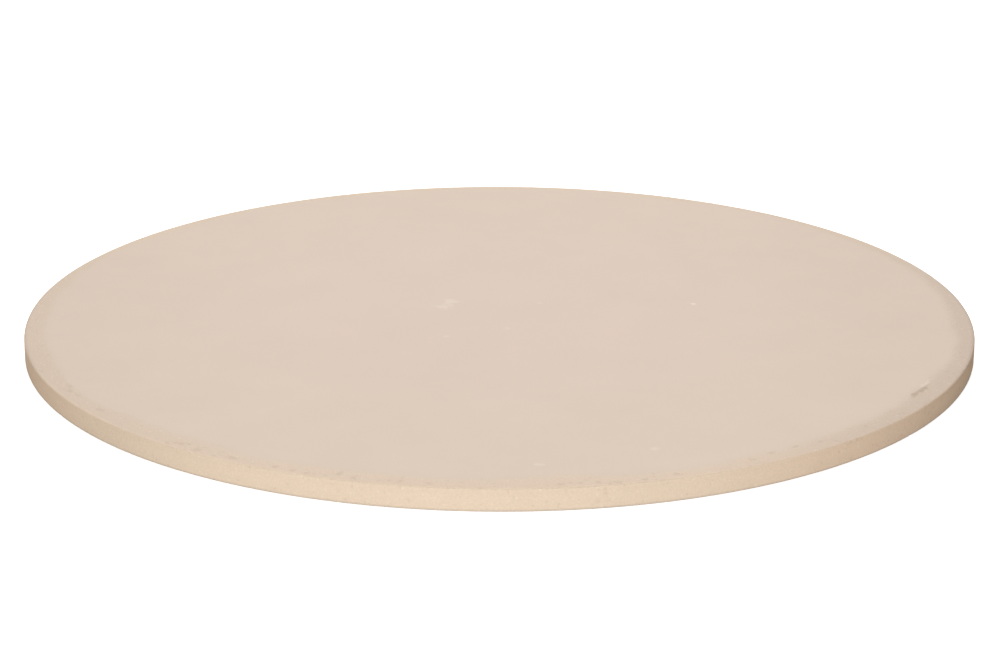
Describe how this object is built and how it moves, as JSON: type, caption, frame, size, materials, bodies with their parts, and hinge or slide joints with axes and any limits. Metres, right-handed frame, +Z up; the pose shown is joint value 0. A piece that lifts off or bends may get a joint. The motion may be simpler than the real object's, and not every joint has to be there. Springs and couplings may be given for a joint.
{
  "type": "pizza stone",
  "caption": "Thin round ceramic baking stone with a flat face, a shallow roll-off round its rim and a straight wall.",
  "frame": {"origin": "centre of the flat underside, on the plane that the stone rests on", "axes": "+Z up, from the underside to the baking face, along the slab's axis of revolution; X and Y lie in the slab and are interchangeable"},
  "size_m": [0.406, 0.406, 0.0095],
  "materials": {
    "cordierite": "fired, unglazed, matt and finely grained, pale beige"
  },
  "bodies": {
    "root": {"baking_stone": "cordierite"}
  },
  "joints": []
}
